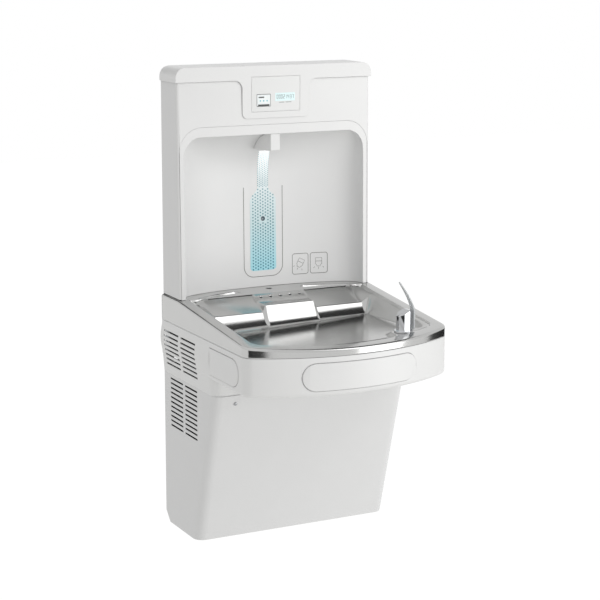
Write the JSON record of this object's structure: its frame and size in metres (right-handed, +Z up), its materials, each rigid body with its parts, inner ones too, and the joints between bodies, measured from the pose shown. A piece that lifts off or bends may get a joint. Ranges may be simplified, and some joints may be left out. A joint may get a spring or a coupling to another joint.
{
  "type": "bottle filling station with drinking basin",
  "caption": "Wall-hung bottle filling station: hands-free filler alcove over a stainless drinking basin with a front push bar and side push pads.",
  "frame": {"origin": "on the wall plane, midway across the cabinet, at the middle of the four wall bolts of the lower frame", "axes": "+X to the right as seen by the user, +Y into the wall, +Z up"},
  "size_m": [0.475, 0.485, 1.001],
  "materials": {
    "galvanised": "satin",
    "painted": "satin",
    "shell": "satin",
    "stainless": "brushed",
    "chromed": "polished",
    "brassy": "satin",
    "black_rubber": "matte",
    "grey_rubber": "matte",
    "spring": "satin",
    "black_plastic": "matte",
    "white_plastic": "matte",
    "clear_plastic": "gloss",
    "red_plastic": "matte",
    "lens": "gloss",
    "board": "satin",
    "valve": "matte",
    "tube": "satin",
    "black_paint": "gloss",
    "fins": "satin",
    "copper": "satin",
    "foam": "matte",
    "glow": "gloss"
  },
  "bodies": {
    "station": {"back_frame": "galvanised", "base_pan": "galvanised", "lower_cover": "painted", "cover_screws": "spring", "upper_shroud": "shell", "basin": "stainless", "drain_strainer": "stainless", "drain_body": "chromed", "waste_pipe": "white_plastic", "bubbler_body": "chromed", "bubbler_guard": "clear_plastic", "bubbler_nut": "brassy", "bar_bracket": "galvanised", "bar_springs": "spring", "bar_switch": "black_plastic", "left_pad_bracket": "galvanised", "left_pad_spring": "spring", "left_switch": "black_plastic", "right_pad_bracket": "galvanised", "right_pad_spring": "spring", "right_switch": "black_plastic", "tower_gasket": "black_rubber", "tower_chassis": "painted", "tower_front": "shell", "tower_cap": "shell", "alcove_liner": "shell", "nozzle_hood": "shell", "laminar_nozzle": "chromed", "nozzle_light": "glow", "sensor_eye": "lens", "display_lens": "shell", "display_module": "board", "control_board": "board", "filler_valve": "valve", "riser_tube": "tube", "compressor": "black_paint", "compressor_feet": "grey_rubber", "condenser": "fins", "fan_shroud": "galvanised", "fan_motor": "black_paint", "chiller_tank": "stainless", "evaporator_coil": "copper", "tank_insulation": "foam", "tank_shelf": "galvanised", "filter_head": "valve", "inlet_coupler": "brassy", "supply_tube": "tube", "bubbler_valve": "valve", "bubbler_tube": "tube", "junction_box": "galvanised", "cable_gland": "black_plastic", "thermostat": "black_plastic"},
    "push_bar": {"push_bar": "shell"},
    "left_pad": {"left_pad": "shell"},
    "right_pad": {"right_pad": "shell"},
    "bar_plunger": {"bar_plunger": "red_plastic"},
    "left_plunger": {"left_plunger": "red_plastic"},
    "right_plunger": {"right_plunger": "red_plastic"},
    "fan": {"fan_blades": "fins"},
    "cartridge": {"filter_cartridge": "white_plastic"}
  },
  "joints": [
    {"name": "push_bar_travel", "type": "slide", "parent": "station", "child": "push_bar", "axis": [0, 1, 0], "range_m": [0, 0.005], "stiffness_N_per_m": 900, "springref_m": -0.004, "deforming": ["bar_springs"]},
    {"name": "left_pad_travel", "type": "slide", "parent": "station", "child": "left_pad", "axis": [1, 0, 0], "range_m": [0, 0.004], "stiffness_N_per_m": 900, "springref_m": -0.004, "deforming": ["left_pad_spring"]},
    {"name": "right_pad_travel", "type": "slide", "parent": "station", "child": "right_pad", "axis": [-1, 0, 0], "range_m": [0, 0.004], "stiffness_N_per_m": 900, "springref_m": -0.004, "deforming": ["right_pad_spring"]},
    {"name": "bar_plunger_travel", "type": "slide", "parent": "station", "child": "bar_plunger", "axis": [0, 1, 0], "range_m": [0, 0.005]},
    {"name": "left_plunger_travel", "type": "slide", "parent": "station", "child": "left_plunger", "axis": [1, 0, 0], "range_m": [0, 0.004]},
    {"name": "right_plunger_travel", "type": "slide", "parent": "station", "child": "right_plunger", "axis": [-1, 0, 0], "range_m": [0, 0.004]},
    {"name": "fan_spin", "type": "hinge", "parent": "station", "child": "fan", "pos_m": [0.016, -0.107, -0.098], "axis": [0, 1, 0], "continuous": true},
    {"name": "cartridge_turn", "type": "hinge", "parent": "station", "child": "cartridge", "pos_m": [0.172, -0.096, 0.2], "axis": [0, 0, 1], "range_deg": [-90, 0]}
  ],
  "couplings": [
    {"joint": "bar_plunger_travel", "follows": "push_bar_travel", "ratio": 1},
    {"joint": "left_plunger_travel", "follows": "left_pad_travel", "ratio": 1},
    {"joint": "right_plunger_travel", "follows": "right_pad_travel", "ratio": 1}
  ]
}
